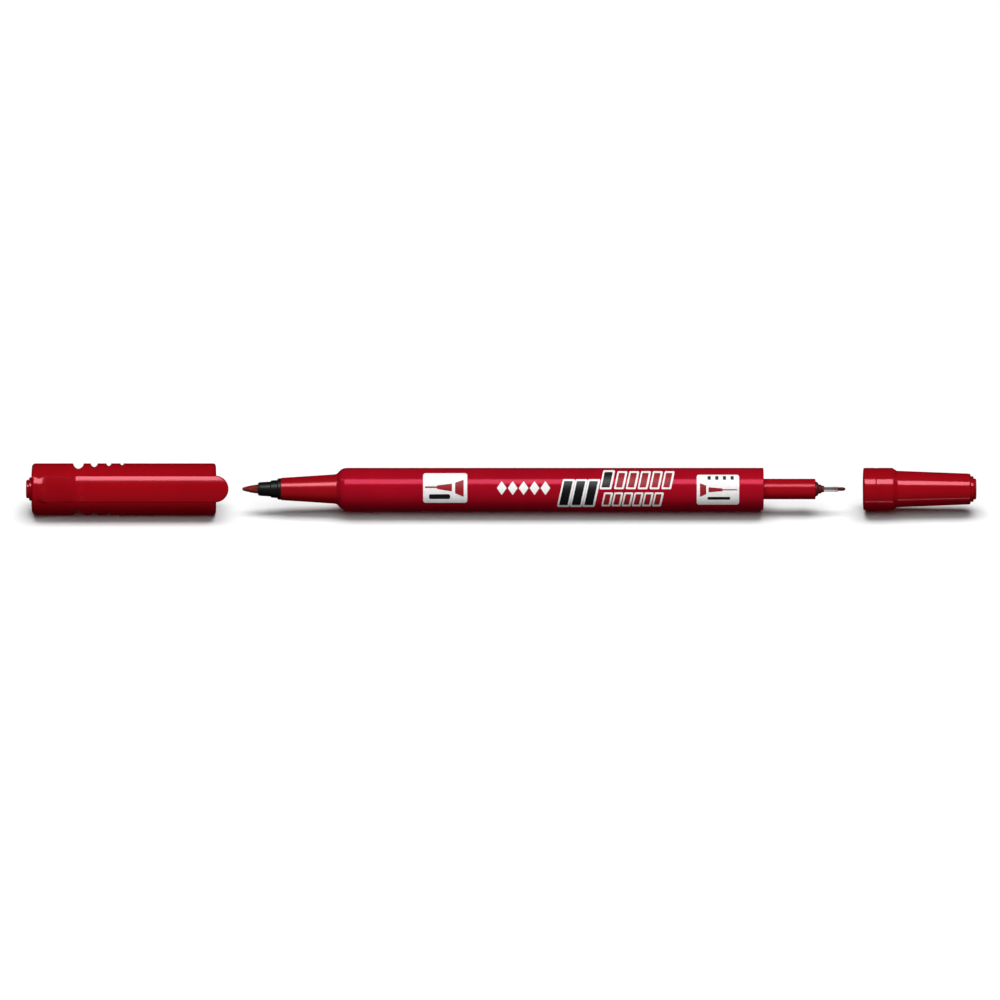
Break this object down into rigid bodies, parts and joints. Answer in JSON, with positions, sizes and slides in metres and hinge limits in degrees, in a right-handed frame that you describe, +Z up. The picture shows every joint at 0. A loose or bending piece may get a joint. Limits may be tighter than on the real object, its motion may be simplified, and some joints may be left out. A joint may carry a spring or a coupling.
{
  "type": "twin-tip marker pen",
  "caption": "Slim two-ended marker pen with a fine fibre nib at one end, an extra-fine sleeved nib at the other, and a slip-on cap for each end, the larger with a pocket clip.",
  "frame": {"origin": "on the pen's axis, halfway along the barrel tube", "axes": "+X along the pen from the fine nib to the extra-fine nib, +Z up as it lies on a table, the pocket clip facing -Y and 24 degrees up"},
  "size_m": [0.2111, 0.0137, 0.0114],
  "materials": {
    "barrel_red": "smooth red barrel plastic, slightly duller than the caps",
    "moulded_red": "glossy injection-moulded red polypropylene",
    "moulded_black": "black moulded plastic with a soft sheen",
    "cone_dark_red": "dark red moulded plastic stained by ink",
    "nib_fibre": "bonded fibre soaked with dark red ink",
    "reservoir_fibre": "polyester fibre soaked with red ink",
    "wrap_film": "clear to milky film",
    "inner_cap_natural": "natural translucent white polyethylene",
    "sleeve_steel": "drawn stainless tube",
    "print_ink": "screen-printed white, black and red ink, used by the printed pieces"
  },
  "bodies": {
    "barrel": {"barrel_tube": "barrel_red", "ink_reservoir": "reservoir_fibre", "reservoir_wrap": "wrap_film", "fine_end_section": "moulded_red", "fine_nib_holder": "moulded_black", "fine_nib": "nib_fibre", "extra_fine_section": "moulded_red", "extra_fine_tip_cone": "cone_dark_red", "extra_fine_sleeve": "sleeve_steel", "extra_fine_nib": "nib_fibre", "extra_fine_relay_wick": "reservoir_fibre"},
    "fine_cap": {"fine_cap_shell": "moulded_red", "fine_cap_inner_cap": "inner_cap_natural", "fine_cap_end_plug": "moulded_red"},
    "pocket_clip": {"pocket_clip": "moulded_red"},
    "extra_fine_cap": {"extra_fine_cap_shell": "moulded_red", "extra_fine_cap_inner_cap": "inner_cap_natural", "extra_fine_cap_end_plug": "moulded_red"}
  },
  "joints": [
    {"name": "fine_cap_slide", "type": "slide", "parent": "barrel", "child": "fine_cap", "axis": [1, 0, 0], "range_m": [0, 0.0434]},
    {"name": "extra_fine_cap_slide", "type": "slide", "parent": "barrel", "child": "extra_fine_cap", "axis": [-1, 0, 0], "range_m": [0, 0.02215]},
    {"name": "clip_flex", "type": "hinge", "parent": "fine_cap", "child": "pocket_clip", "pos_m": [-0.1043, -0.00731, 0.00325], "axis": [0, -0.4067, -0.9135], "range_deg": [0, 3.5], "stiffness_Nm_per_rad": 0.5}
  ]
}
